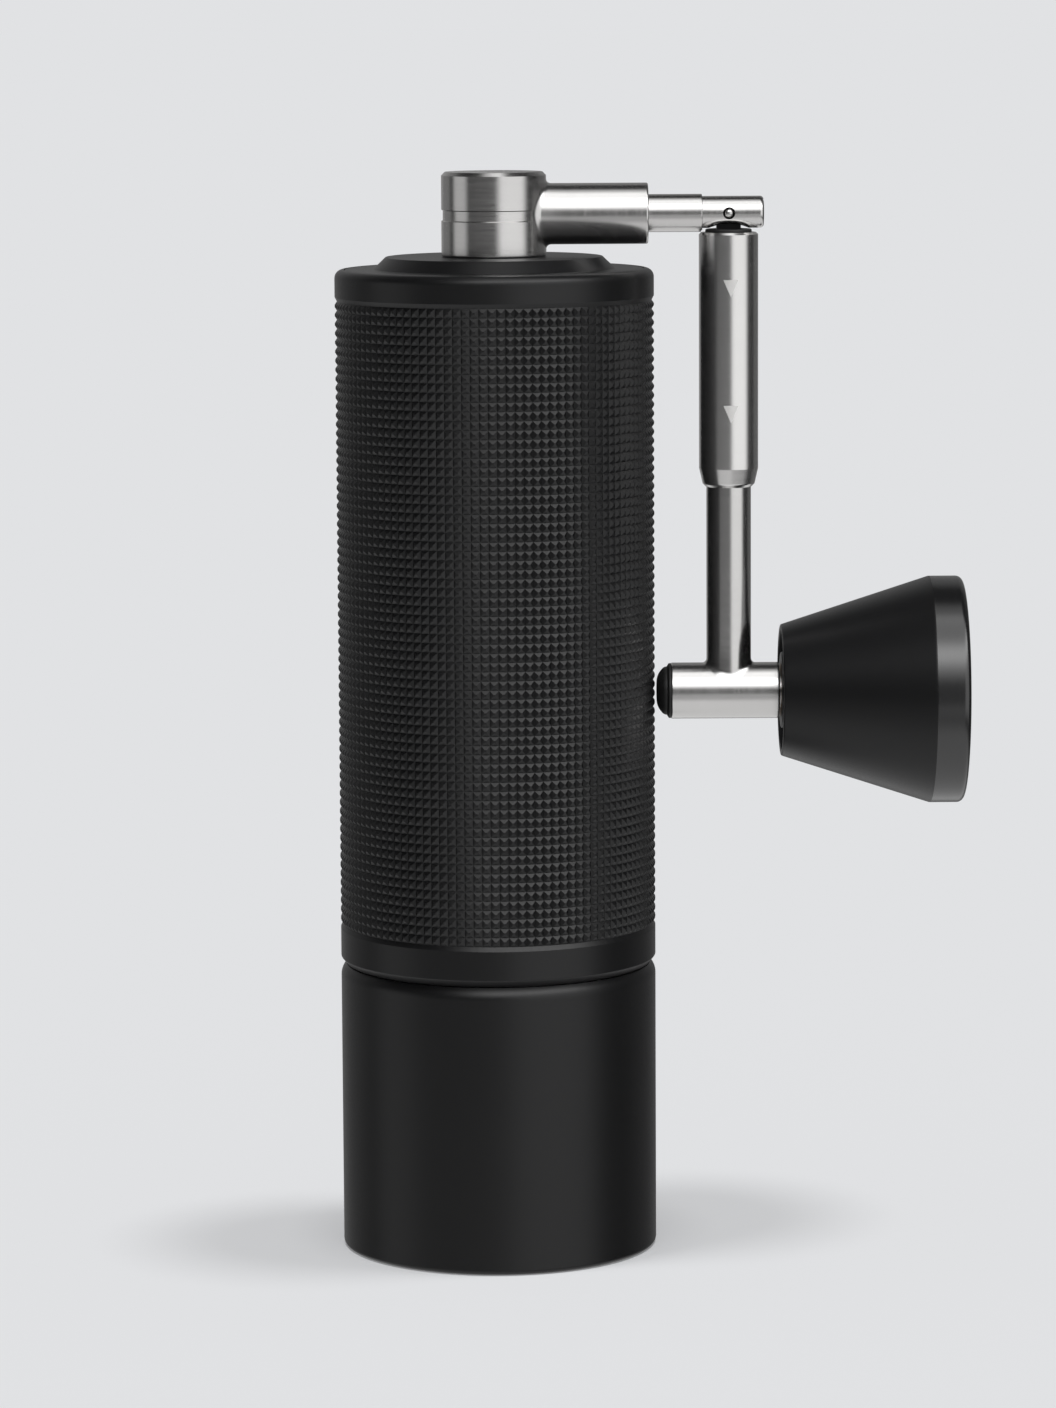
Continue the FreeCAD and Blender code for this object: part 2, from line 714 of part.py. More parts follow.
# ---- knob -----------------------------------------------------------------------
def knob_body():
    screw_room = knob_length - screw_room_depth
    cap_seat = knob_length - knob_cap_height - press_gap
    body = turned([
        (knob_bush_radius + press_gap, 0), (knob_recess_inner, 0, 0.3),
        (knob_recess_inner, knob_recess_depth, 0.3), (knob_recess_outer, knob_recess_depth, 0.3),
        (knob_recess_outer, 0, 0.2), (knob_small_radius, 0, 0.3),
        (knob_large_radius, knob_cone, 1.5), (knob_large_radius, knob_length, knob_edge),
        (knob_cap_radius + press_gap, knob_length), (knob_cap_radius + press_gap, cap_seat),
        (screw_room_radius, cap_seat), (screw_room_radius, screw_room),
        (knob_bush_radius + press_gap, screw_room)])
    return along_x(body, knob_x, knob_z)


def knob_cap():
    body = turned([
        (0, 0), (knob_cap_radius, 0), (knob_cap_radius, knob_cap_height, 0.3), (0, knob_cap_height)])
    return along_x(body, knob_x + knob_length - knob_cap_height, knob_z)


def knob_bushes():
    far = knob_length - screw_room_depth - knob_bush_length
    bushes = [along_x(tube(knob_bush_radius, spindle_radius + run_gap, 0, knob_bush_length),
                      knob_x + start, knob_z) for start in (0.0, far)]
    return Part.makeCompound(bushes)


def knob_spindle():
    length = spindle_end_x - cross_end_x + spindle_grip
    body = turned([
        (0, 0), (spindle_radius, 0, 0.3), (spindle_radius, length), (0, length)])
    thread = Part.makeCylinder(knob_screw_radius, 9.0, Vec(0, 0, length - 9.0))
    return along_x(body.cut(thread), cross_end_x - spindle_grip, knob_z)


def knob_washer():
    ring = tube(knob_washer_radius, knob_screw_radius + run_gap, 0, washer_height)
    return along_x(ring, spindle_end_x, knob_z)


def knob_screw():
    head_x = spindle_end_x + washer_height + press_gap
    head = turned([
        (0, 0), (knob_screw_head_radius, 0), (knob_screw_head_radius, knob_screw_head, 0.4),
        (0, knob_screw_head)])
    head = head.cut(hexagon(2.0, knob_screw_head - 1.0, 1.0))
    screw = Part.makeCylinder(knob_screw_radius - press_gap, 8.0, Vec(0, 0, -8.0))
    return along_x(head.fuse(screw), head_x, knob_z)


parts = {
    "grounds_cup": grounds_cup(),
    "cup_gasket": cup_gasket(),
    "outer_shell": outer_shell(),
    "burr_housing": burr_housing(),
    "ring_burr": ring_burr(),
    "burr_screws": burr_screws(),
    "bearing_bridge": bearing_bridge(),
    "drive_shaft": drive_shaft(),
    "shaft_circlips": shaft_circlips(),
    "spring_washer": spring_washer(),
    "burr_spring": burr_spring(),
    "inner_burr": inner_burr(),
    "click_plate": click_plate(),
    "adjusting_dial": adjusting_dial(),
    "click_balls": click_balls(),
    "dial_ring": dial_ring(),
    "lid_cover": lid_cover(),
    "lid_seal": lid_seal(),
    "lid_bush": lid_bush(),
    "crank_hub": crank_hub(),
    "crank_stub": crank_stub(),
    "hinge_pin": hinge_pin(),
    "hub_washer": hub_washer(),
    "hub_circlip": hub_circlip(),
    "arm_rod": arm_rod(),
    "lock_sleeve": lock_sleeve(),
    "sleeve_spring": sleeve_spring(),
    "cross_tube": cross_tube(),
    "bumper": bumper(),
    "knob_spindle": knob_spindle(),
    "knob_body": knob_body(),
    "knob_bushes": knob_bushes(),
    "knob_washer": knob_washer(),
    "knob_screw": knob_screw(),
    "knob_cap": knob_cap(),
}
for place, height in (("lower", lower_bearing_z), ("upper", upper_bearing_z)):
    parts[place + "_bearing_outer"] = bearing_outer(height)
    parts[place + "_bearing_inner"] = bearing_inner(height)
    parts[place + "_bearing_balls"] = bearing_balls(height)

os.makedirs("parts", exist_ok=True)
for node, shape in parts.items():
    shape.exportStep("parts/" + node + ".step")
    print(node, "valid" if shape.isValid() else "NOT VALID", len(shape.Solids), "solids",
          round(shape.Volume, 1), "mm3")
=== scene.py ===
# Hand crank coffee grinder: black anodised body, turned steel crank and a handle that hangs folded.
import json
import math

import bmesh
import bpy
import numpy as np
from mathutils import Matrix

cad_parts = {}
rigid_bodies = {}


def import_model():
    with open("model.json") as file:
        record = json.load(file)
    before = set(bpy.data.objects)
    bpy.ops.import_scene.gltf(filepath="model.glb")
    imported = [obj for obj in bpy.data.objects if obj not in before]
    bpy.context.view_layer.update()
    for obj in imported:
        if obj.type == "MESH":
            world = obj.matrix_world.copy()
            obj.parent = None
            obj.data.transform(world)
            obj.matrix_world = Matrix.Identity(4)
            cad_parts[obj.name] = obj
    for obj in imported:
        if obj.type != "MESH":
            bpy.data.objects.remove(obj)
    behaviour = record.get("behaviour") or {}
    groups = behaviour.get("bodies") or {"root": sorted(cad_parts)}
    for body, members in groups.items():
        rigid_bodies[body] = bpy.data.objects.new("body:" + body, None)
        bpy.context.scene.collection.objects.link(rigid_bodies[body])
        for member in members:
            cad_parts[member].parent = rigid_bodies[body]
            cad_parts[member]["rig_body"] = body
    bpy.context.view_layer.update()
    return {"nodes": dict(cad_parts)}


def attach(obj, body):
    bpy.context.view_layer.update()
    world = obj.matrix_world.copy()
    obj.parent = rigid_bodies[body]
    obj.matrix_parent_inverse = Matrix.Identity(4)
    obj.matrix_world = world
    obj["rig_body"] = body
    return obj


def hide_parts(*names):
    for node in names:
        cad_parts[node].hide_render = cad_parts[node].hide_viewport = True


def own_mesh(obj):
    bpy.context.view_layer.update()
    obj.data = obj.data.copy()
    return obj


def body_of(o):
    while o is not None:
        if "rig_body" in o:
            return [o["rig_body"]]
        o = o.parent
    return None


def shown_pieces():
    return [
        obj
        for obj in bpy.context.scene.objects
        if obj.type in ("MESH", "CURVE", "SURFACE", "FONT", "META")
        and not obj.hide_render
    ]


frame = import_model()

print("frame loaded:", len(frame["nodes"]), "nodes")

# Shapes are written in millimetres, +Z up, and mm turns them to metres.
mm = 0.001
bodyRadius = 26.5
shellTop = 164.6
crankAxisZ = 173.6      # height of the crank arm's axis and of the hinge pin
rodX = 38.9             # the folded rod's axis
knobZ = 93.8            # the knob's axis


# Profile with soft corners: at each rounded corner an arc touches both sides, its centre on the
# bisector at rounding / sin(half the corner angle). Straight runs get rows at hold from their ends, so
# that smooth shading stays flat along them, and one about every rowGap between.
def softProfile(corners, closed, arcSteps=7, hold=0.12, rowGap=6):
    spots = np.array([corner[:2] for corner in corners], float)
    count = len(corners)
    runs = []
    for i, corner in enumerate(corners):
        rounding = corner[2] if len(corner) > 2 else 0.0
        if rounding == 0.0:
            runs.append(spots[i:i + 1])
            continue
        back = spots[i - 1] - spots[i]
        onward = spots[(i + 1) % count] - spots[i]
        back = back / np.linalg.norm(back)
        onward = onward / np.linalg.norm(onward)
        half = math.acos(float(back @ onward)) / 2
        reach = rounding / math.tan(half)
        bisector = (back + onward) / np.linalg.norm(back + onward)
        centre = spots[i] + bisector * rounding / math.sin(half)
        start = spots[i] + back * reach - centre
        end = spots[i] + onward * reach - centre
        sweep = math.pi - 2 * half
        share = np.linspace(0, 1, arcSteps + 1)[:, None]
        swing = np.sin((1 - share) * sweep) * start + np.sin(share * sweep) * end
        runs.append(centre + swing / math.sin(sweep))
    rows = []
    for i, run in enumerate(runs):
        rows.append(run)
        if i == count - 1 and not closed:
            break
        start = run[-1]
        end = runs[(i + 1) % count][0]
        length = float(np.linalg.norm(end - start))
        if length > 4 * hold:
            inner = np.linspace(0, 1, int(length / rowGap) + 2)[1:-1]
            share = np.concatenate([[hold / length], inner, [1 - hold / length]])[:, None]
            rows.append(start + share * (end - start))
    return np.vstack(rows)


# Turned grid: profile (r, h) carried round an axis, point = (r cos a, r sin a, h), with the three
# coordinates passed round for an axis along X or Y.
def turnedGrid(profile, steps, axis="z", centre=(0.0, 0.0, 0.0)):
    angle = np.linspace(0, 2 * math.pi, steps, endpoint=False)[None, :]
    across = profile[:, :1] * np.cos(angle)
    beside = profile[:, :1] * np.sin(angle)
    along = profile[:, 1:2] + 0 * angle
    order = {"z": (across, beside, along), "x": (along, across, beside), "y": (beside, along, across)}
    return np.stack(order[axis], axis=-1) + np.array(centre)


# Branch grid: a pipe of radius r that leaves a parent cylinder of radius R. The fillet is a quarter arc:
# pipe radius r + f (1 - sin t), rise f (1 - cos t) above the parent's surface sqrt(R^2 - (r sin a)^2).
# After it the rows are plain circles at the given (radius, distance from the parent's axis). The first
# row is sunk a little in the parent, so that no gap shows.
def branchGrid(radius, parentRadius, fillet, straightRows, steps, filletRows=9, sink=0.02):
    angle = np.linspace(0, 2 * math.pi, steps, endpoint=False)[None, :]
    turn = np.linspace(0, math.pi / 2, filletRows)[:, None]
    pipe = radius + fillet * (1 - np.sin(turn))
    sideways = pipe * np.sin(angle)
    rise = np.sqrt(parentRadius ** 2 - sideways ** 2) + fillet * (1 - np.cos(turn)) - sink
    straight = np.array(straightRows, float)
    sizes = np.vstack([np.zeros((1, 1)), pipe, straight[:, :1]])
    outwards = np.vstack([0 * angle, rise, straight[:, 1:2] + 0 * angle])
    return sizes * np.cos(angle), sizes * np.sin(angle), outwards


# Faces of a grid: each joins four neighbouring points. The columns close round, and for a ring the rows too.
def gridFaces(rows, columns, ring=False):
    last = rows if ring else rows - 1
    i, j = np.meshgrid(np.arange(last), np.arange(columns), indexing="ij")
    up = (i + 1) % rows
    beside = (j + 1) % columns
    near = [i * columns + j, i * columns + beside]
    far = [up * columns + beside, up * columns + j]
    return np.stack(near + far, axis=-1).reshape(-1, 4)


# Mesh from grids (points, faces): poles and seams are merged, and faces turned outwards.
def makeMesh(name, grids, sharpAngle=28):
    points = []
    faces = []
    start = 0
    for spots, cells in grids:
        points.append(spots.reshape(-1, 3) * mm)
        faces += (cells + start).tolist()
        start += points[-1].shape[0]
    mesh = bpy.data.meshes.new(name)
    mesh.from_pydata(np.vstack(points).tolist(), [], faces)
    tidyMesh(mesh, sharpAngle)
    return mesh


# Merges points closer than mergeDistance, turns faces outwards and keeps edges past the angle sharp.
def tidyMesh(mesh, sharpAngle, mergeDistance=2e-7):
    work = bmesh.new()
    work.from_mesh(mesh)
    bmesh.ops.remove_doubles(work, verts=work.verts, dist=mergeDistance)
    bmesh.ops.recalc_face_normals(work, faces=work.faces)
    work.to_mesh(mesh)
    work.free()
    mesh.polygons.foreach_set("use_smooth", np.ones(len(mesh.polygons), bool))
    mesh.set_sharp_from_angle(angle=math.radians(sharpAngle))
    mesh.update()


# Piece from a mesh: it rides on a body and stands for the CAD nodes named (none for an added piece), with
# its slot and finish.
def placePiece(name, mesh, body, standsFor, material):
    piece = bpy.data.objects.new(name, mesh)
    bpy.context.scene.collection.objects.link(piece)
    mesh.materials.clear()
    mesh.materials.append(material)
    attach(piece, body)
    if standsFor:
        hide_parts(*standsFor)
    return piece


# Turned piece from corners (r, h, rounding); a closed outline makes a ring.
def turnedMesh(name, corners, axis="z", centre=(0.0, 0.0, 0.0), ring=False, steps=144, sharpAngle=28):
    profile = softProfile(corners, ring)
    grid = turnedGrid(profile, steps, axis, centre)
    return makeMesh(name, [(grid, gridFaces(len(profile), steps, ring))], sharpAngle)


# Cuts solids out of a mesh with exact booleans, then tidies it.
def cutAway(mesh, cutters, sharpAngle=28):
    host = bpy.data.objects.new("cutHost", mesh)
    bpy.context.scene.collection.objects.link(host)
    tools = []
    for cutter in cutters:
        tool = bpy.data.objects.new("cutTool", cutter)
        bpy.context.scene.collection.objects.link(tool)
        tools.append(tool)
        step = host.modifiers.new("cut", "BOOLEAN")
        step.operation = "DIFFERENCE"
        step.solver = "EXACT"
        step.object = tool
    view = bpy.context.evaluated_depsgraph_get()
    result = bpy.data.meshes.new_from_object(host.evaluated_get(view))
    for spare in tools + [host]:
        bpy.data.objects.remove(spare)
    tidyMesh(result, sharpAngle)
    return result


# Straight bar: an outline of (a, b) points carried from one end to the other, with closed ends.
def barMesh(outline, start, end, axis):
    ring = np.array(outline, float)
    middle = np.repeat(ring.mean(axis=0)[None, :], len(ring), axis=0)
    flat = np.stack([middle, ring, ring, middle])
    along = np.broadcast_to(np.array([start, start, end, end])[:, None], flat.shape[:2])
    order = {"z": (flat[..., 0], flat[..., 1], along), "x": (along, flat[..., 0], flat[..., 1]),
             "y": (flat[..., 0], along, flat[..., 1])}
    grid = np.stack(order[axis], axis=-1)
    return grid, gridFaces(4, len(ring))


# sRGB hex to linear: c / 12.92 below 0.04045, else ((c + 0.055) / 1.055) ^ 2.4.
def linearColour(code):
    parts = np.array([int(code[i:i + 2], 16) for i in (1, 3, 5)]) / 255
    linear = np.where(parts <= 0.04045, parts / 12.92, ((parts + 0.055) / 1.055) ** 2.4)
    return (*linear.tolist(), 1.0)


# Adds a node: settings go to its sockets or its own options, links come from other sockets.
def addNode(tree, kind, settings=None, links=None):
    node = tree.nodes.new(kind)
    for key, value in (settings or {}).items():
        if isinstance(key, int) or key in node.inputs:
            node.inputs[key].default_value = value
        else:
            setattr(node, key, value)
    for key, source in (links or {}).items():
        tree.links.new(source, node.inputs[key])
    return node


# A solid finish: a fine grain (its size in mm, stretched by stretch) moves the roughness and the
# bump, and a broad noise shades the colour between two near tones.
def makeFinish(name, tones, metallic, roughness, spread, grain, stretch=(1, 1, 1), relief=0.0, broad=14.0,
               extra=None):
    material = bpy.data.materials.new(name)
    material.use_nodes = True
    tree = material.node_tree
    tree.nodes.clear()
    place = addNode(tree, "ShaderNodeTexCoord").outputs["Object"]
    grainPlace = addNode(tree, "ShaderNodeMapping", {"Scale": stretch}, {"Vector": place})
    fine = addNode(tree, "ShaderNodeTexNoise", {"Scale": 1000 / grain, "Detail": 3.0, "Roughness": 0.6},
                   {"Vector": grainPlace.outputs["Vector"]}).outputs[0]
    wide = addNode(tree, "ShaderNodeTexNoise", {"Scale": 1000 / broad, "Detail": 2.0},
                   {"Vector": place}).outputs[0]
    # the grain's values lie mostly between 0.3 and 0.7
    gloss = addNode(tree, "ShaderNodeMapRange",
                    {"From Min": 0.3, "From Max": 0.7, "To Min": roughness - spread,
                     "To Max": roughness + spread}, {"Value": fine}).outputs[0]
    tint = addNode(tree, "ShaderNodeMix",
                   {"data_type": "RGBA", 6: linearColour(tones[0]), 7: linearColour(tones[1])},
                   {0: wide}).outputs[2]
    settings = {"Metallic": metallic}
    settings.update(extra or {})
    surface = addNode(tree, "ShaderNodeBsdfPrincipled", settings, {"Base Color": tint, "Roughness": gloss})
    if relief:
        bump = addNode(tree, "ShaderNodeBump", {"Distance": relief * mm, "Strength": 1.0}, {"Height": fine})
        tree.links.new(bump.outputs["Normal"], surface.inputs["Normal"])
    addNode(tree, "ShaderNodeOutputMaterial", None, {"Surface": surface.outputs[0]})
    return material


finishes = {
    # Aluminium, bead blasted and anodised black: deep black with a soft, slightly grainy sheen.
    "bodyAnodised": makeFinish(
        "black_anodised_aluminium_blasted", ("#101011", "#151516"), metallic=0.0, roughness=0.37,
        spread=0.04, grain=0.35, relief=0.003, extra={"Specular IOR Level": 0.37}),
    # The same finish on the knob, a shade smoother from handling.
    "knobAnodised": makeFinish(
        "black_anodised_aluminium_satin", ("#131314", "#181819"), metallic=0.0, roughness=0.36,
        spread=0.04, grain=0.35, relief=0.003, extra={"Specular IOR Level": 0.3}),
    # The knob's rim, turned after blasting and then anodised: glossier, so the big light shows on it.
    "knobRim": makeFinish(
        "black_anodised_aluminium_turned", ("#161617", "#1c1c1d"), metallic=0.0, roughness=0.2,
        spread=0.02, grain=0.3, stretch=(1, 0.05, 0.05), relief=0.001, extra={"Specular IOR Level": 0.8}),
    # Stainless steel, turned on a lathe about Z: fine rings round the axis.
    "steelUpright": makeFinish(
        "stainless_steel_turned_upright", ("#c0bfbe", "#cccbca"), metallic=1.0, roughness=0.22,
        spread=0.035, grain=0.3, stretch=(0.02, 0.02, 1), relief=0.001),
    # The same steel turned about X.
    "steelAcross": makeFinish(
        "stainless_steel_turned_across", ("#c0bfbe", "#cccbca"), metallic=1.0, roughness=0.22,
        spread=0.035, grain=0.3, stretch=(1, 0.02, 0.02), relief=0.001),
    # Stainless steel, fine satin: the sliding sleeve, a touch paler and softer than the turned steel.
    "steelSatin": makeFinish(
        "stainless_steel_satin", ("#d0cfce", "#dbdad9"), metallic=1.0, roughness=0.23, spread=0.02,
        grain=0.25, stretch=(0.02, 0.02, 1), relief=0.0005),
    # Near-black steel on the hinge's tongue, with a dull metal sheen: painted shade for the shadow deep in
    # the crevice under the stub.
    "paintedShadeSteel": makeFinish(
        "black_oxide_steel", ("#1b1b1c", "#232324"), metallic=0.7, roughness=0.45, spread=0.05, grain=0.3,
        relief=0.002),
    # Hardened steel, machined burrs: darker, with fine cutter marks.
    "burrSteel": makeFinish(
        "hardened_steel_machined", ("#8f8d8a", "#9d9b98"), metallic=1.0, roughness=0.3, spread=0.08,
        grain=0.3, stretch=(1, 1, 6), relief=0.006),
    # Bearing steel, ground and lapped.
    "bearingSteel": makeFinish(
        "bearing_steel_ground", ("#b5b4b2", "#c3c2c0"), metallic=1.0, roughness=0.18, spread=0.04,
        grain=0.25, stretch=(0.1, 0.1, 1), relief=0.002),
    # Spring wire, drawn: smooth and slightly blued.
    "springSteel": makeFinish(
        "spring_steel_drawn_wire", ("#8d8e92", "#9fa0a4"), metallic=1.0, roughness=0.27, spread=0.05,
        grain=0.4, relief=0.003),
    # Nitrile rubber, moulded: matt black with a faint mottle.
    "bumperRubber": makeFinish(
        "nitrile_rubber_moulded", ("#101010", "#181818"), metallic=0.0, roughness=0.62, spread=0.08,
        grain=0.5, relief=0.01),
    # Silicone, moulded: dark grey, soft sheen.
    "sealSilicone": makeFinish(
        "silicone_rubber_moulded", ("#2b2c2e", "#343538"), metallic=0.0, roughness=0.55, spread=0.06,
        grain=0.5, relief=0.006),
    # Sintered bronze, oiled: brown metal with fine pores.
    "bushBronze": makeFinish(
        "sintered_bronze_oiled", ("#8a6a3e", "#9c7a4a"), metallic=1.0, roughness=0.42, spread=0.08,
        grain=0.18, relief=0.012),
    # Aluminium, turned and clear anodised: pale, for the dial.
    "dialAluminium": makeFinish(
        "clear_anodised_aluminium_turned", ("#a9aaac", "#b6b7b9"), metallic=1.0, roughness=0.34,
        spread=0.05, grain=0.3, stretch=(0.05, 0.05, 1), relief=0.003),
    # The same aluminium for the housing pressed into the shell, a little duller.
    "innerAluminium": makeFinish(
        "clear_anodised_aluminium_blasted", ("#9b9c9e", "#a8a9ab"), metallic=1.0, roughness=0.4,
        spread=0.05, grain=0.3, relief=0.004),
    # Glass-filled nylon, moulded: dark grey with a fine spark texture.
    "bridgeNylon": makeFinish(
        "glass_filled_nylon_moulded", ("#1d1e20", "#26272a"), metallic=0.0, roughness=0.5, spread=0.07,
        grain=0.4, relief=0.012),
}

etched = {"centre": rodX + 0.2, "half": 1.25, "height": 2.9, "tops": (162.7, 141.9), "roughness": 0.62}


# Triangles pointing down on the sleeve's front: inside one where |x - centre| < half * (z - tip) / height,
# z < top and y < 0. The etched metal is rougher, so it looks paler than the satin round it.
def etchTriangles(material):
    tree = material.node_tree
    surface = [node for node in tree.nodes if node.type == "BSDF_PRINCIPLED"][0]
    place = addNode(tree, "ShaderNodeTexCoord").outputs["Object"]
    x, y, z = addNode(tree, "ShaderNodeSeparateXYZ", None, {0: place}).outputs
    offset = addNode(tree, "ShaderNodeMath", {"operation": "SUBTRACT", 1: etched["centre"] * mm},
                     {0: x}).outputs[0]
    offset = addNode(tree, "ShaderNodeMath", {"operation": "ABSOLUTE"}, {0: offset}).outputs[0]
    facing = addNode(tree, "ShaderNodeMath", {"operation": "LESS_THAN", 1: 0.0}, {0: y}).outputs[0]
    share = addNode(tree, "ShaderNodeMath", {"operation": "MULTIPLY", 1: 0.0}, {0: facing}).outputs[0]
    for top in etched["tops"]:
        tip = top - etched["height"]
        width = addNode(tree, "ShaderNodeMapRange",
                        {"From Min": tip * mm, "From Max": top * mm, "To Min": 0.0,
                         "To Max": etched["half"] * mm}, {"Value": z}).outputs[0]
        inside = addNode(tree, "ShaderNodeMath", {"operation": "LESS_THAN"}, {0: offset, 1: width}).outputs[0]
        below = addNode(tree, "ShaderNodeMath", {"operation": "LESS_THAN", 1: top * mm}, {0: z}).outputs[0]
        both = addNode(tree, "ShaderNodeMath", {"operation": "MULTIPLY"}, {0: inside, 1: below}).outputs[0]
        share = addNode(tree, "ShaderNodeMath", {"operation": "MULTIPLY_ADD"},
                        {0: both, 1: facing, 2: share}).outputs[0]
    gloss = surface.inputs["Roughness"].links[0].from_socket
    mixed = addNode(tree, "ShaderNodeMix", {3: etched["roughness"]}, {0: share, 2: gloss}).outputs[0]
    tree.links.new(mixed, surface.inputs["Roughness"])


etchTriangles(finishes["steelSatin"])

# finish of each material slot of the CAD nodes
slotFinishes = {
    "body_black": "bodyAnodised", "crank_steel": "steelUpright", "burr_steel": "burrSteel",
    "bearing_steel": "bearingSteel", "spring_steel": "springSteel", "knob_black": "knobAnodised",
    "bumper_rubber": "bumperRubber", "seal_silicone": "sealSilicone", "bush_bronze": "bushBronze",
    "dial_aluminium": "dialAluminium", "inner_aluminium": "innerAluminium", "bridge_plastic": "bridgeNylon",
}
print("finishes made:", len(finishes))

cup = {"radius": bodyRadius, "height": 48.1, "bore": 23.95, "floor": 2.4, "grooveRadius": 25.6,
       "shoulder": 1.0, "footRounding": 0.8, "shoulderRounding": 2.6, "floorRounding": 3.0}
cupCorners = [
    (0, 0), (cup["radius"], 0, cup["footRounding"]),
    (cup["radius"], cup["height"] - cup["shoulder"], cup["shoulderRounding"]),
    (cup["grooveRadius"], cup["height"]), (cup["bore"], cup["height"]),
    (cup["bore"], cup["floor"], cup["floorRounding"]), (0, cup["floor"])]
placePiece("cup", turnedMesh("cup", cupCorners, steps=240), "cup", ["grounds_cup"],
           finishes["bodyAnodised"])
print("cup made")

shell = {"foot": 48.3, "footRadius": 25.6, "chamferTop": 49.4, "chamferRounding": 0.3, "rimRounding": 1.4,
         "bore": 24.2, "lidBore": 24.9, "lidSeat": 162.55}
knurl = {"rows": 69, "columns": 113, "pitch": 1.5125, "start": 54.99, "depth": 0.38, "edge": 0.745,
         "flat": (0.4, 0.6)}


# Knurled shell: radius = profile radius + depth where the row and the column are both on a crest. A pitch
# has a sharp groove at its start and a small flat top from 0.4 to 0.6, so the cells make blunt pyramids.
def shellMesh():
    parts = np.array([0.0, *knurl["flat"]])
    crest = np.array([0.0, 1.0, 1.0])
    angle = (np.arange(knurl["columns"])[:, None] + parts).ravel() * 2 * math.pi / knurl["columns"]
    columnCrest = np.tile(crest, knurl["columns"])
    valley = bodyRadius - knurl["depth"]
    knurlEnd = knurl["start"] + knurl["rows"] * knurl["pitch"]
    knurlZ = knurl["start"] + (np.arange(knurl["rows"])[:, None] + parts).ravel() * knurl["pitch"]
    below = softProfile([
        (shell["footRadius"], shell["foot"]), (bodyRadius, shell["chamferTop"], shell["chamferRounding"]),
        (bodyRadius, knurl["start"] - knurl["edge"])], closed=False)
    above = softProfile([
        (bodyRadius, knurlEnd + knurl["edge"]), (bodyRadius, shellTop, shell["rimRounding"]),
        (shell["lidBore"], shellTop), (shell["lidBore"], shell["lidSeat"]), (shell["bore"], shell["lidSeat"]),
        (shell["bore"], shell["foot"])], closed=False)
    rowZ = np.concatenate([below[:, 1], knurlZ, [knurlEnd], above[:, 1]])
    rowRadius = np.concatenate([below[:, 0], np.full(len(knurlZ) + 1, valley), above[:, 0]])
    rowCrest = np.zeros(len(rowZ))
    first = len(below)
    rowCrest[first:first + len(knurlZ)] = np.tile(crest, knurl["rows"])
    radius = rowRadius[:, None] + knurl["depth"] * rowCrest[:, None] * columnCrest[None, :]
    grid = np.stack([radius * np.cos(angle), radius * np.sin(angle), rowZ[:, None] + 0 * radius], axis=-1)
    cells = gridFaces(len(rowZ), len(angle), ring=True)
    # a cell on a pyramid's corner is split along the edge that runs up to the crest
    rowPhase = np.ones(len(rowZ), int)
    rowPhase[first:first + len(knurlZ)] = np.tile([0, 1, 2], knurl["rows"])
    mixed = np.abs(rowPhase[:, None] - np.tile([0, 1, 2], knurl["columns"])[None, :]).ravel() == 2
    a, b, c, d = cells.T
    oneWay = np.stack([a, b, c, a, c, d], axis=1)
    otherWay = np.stack([a, b, d, b, c, d], axis=1)
    split = np.where(mixed[:, None], otherWay, oneWay)
    return makeMesh("shell", [(grid, split.reshape(-1, 3))], sharpAngle=24)


placePiece("shell", shellMesh(), "shell", ["outer_shell"], finishes["bodyAnodised"])
print("shell made")

lid = {"bushBore": 7.02, "boss": 9.5, "bossFoot": 160.0, "underside": 162.6, "hollow": 21.4, "skirt": 23.4,
       "skirtFoot": 156.5, "sealSeat": 22.3, "sealLow": 158.5, "sealHigh": 160.44, "flange": 24.85,
       "discFoot": 20.1, "discTop": 18.0, "top": 166.6, "innerRounding": 0.8, "skirtRounding": 0.4,
       "edgeRounding": 0.25, "footRounding": 0.35}
lidCorners = [
    (lid["bushBore"], lid["bossFoot"]), (lid["boss"], lid["bossFoot"]),
    (lid["boss"], lid["underside"], lid["innerRounding"]),
    (lid["hollow"], lid["underside"], lid["innerRounding"]), (lid["hollow"], lid["skirtFoot"]),
    (lid["skirt"], lid["skirtFoot"], lid["skirtRounding"]),
    (lid["skirt"], lid["sealLow"]), (lid["sealSeat"], lid["sealLow"]), (lid["sealSeat"], lid["sealHigh"]),
    (lid["skirt"], lid["sealHigh"]), (lid["skirt"], lid["underside"]), (lid["flange"], lid["underside"]),
    (lid["flange"], shellTop, lid["edgeRounding"]), (lid["discFoot"], shellTop, lid["footRounding"]),
    (lid["discTop"], lid["top"], lid["edgeRounding"]), (lid["bushBore"], lid["top"])]
placePiece("lid", turnedMesh("lid", lidCorners, ring=True, steps=240), "lid", ["lid_cover"],
           finishes["bodyAnodised"])
print("lid made")

# Crank: hub, arm and the stepped stub that holds the hinge pin.
hub = {"radius": 8.7, "foot": 166.65, "top": 180.6, "bevel": 0.6, "footRounding": 0.3, "grooveLow": 172.5,
       "grooveHigh": 174.4, "grooveDepth": 0.25, "grooveSlope": 0.15, "stem": 5.6, "stemFoot": 156.95,
       "stemRounding": 0.4, "socket": 3.51, "socketFoot": 155.95, "socketTop": 176.35}
arm = {"radius": 5.05, "fillet": 0.8, "end": 25.55, "rim": 0.3, "hold": 0.1, "rowsAt": (12.0, 18.0)}
stub = {"start": 25.0, "radius": 3.135, "step": 34.5, "stepRounding": 0.15, "tip": 2.775, "end": 44.7,
        "endRounding": 0.6, "slot": 1.3, "slotStart": 34.3, "slotTop": 2.225, "pinHole": 1.0, "archHalf": 3.9,
        "archHeight": 1.05, "cutBelow": 6.0, "cutBeyond": 4.0, "cutAcross": 8.0}


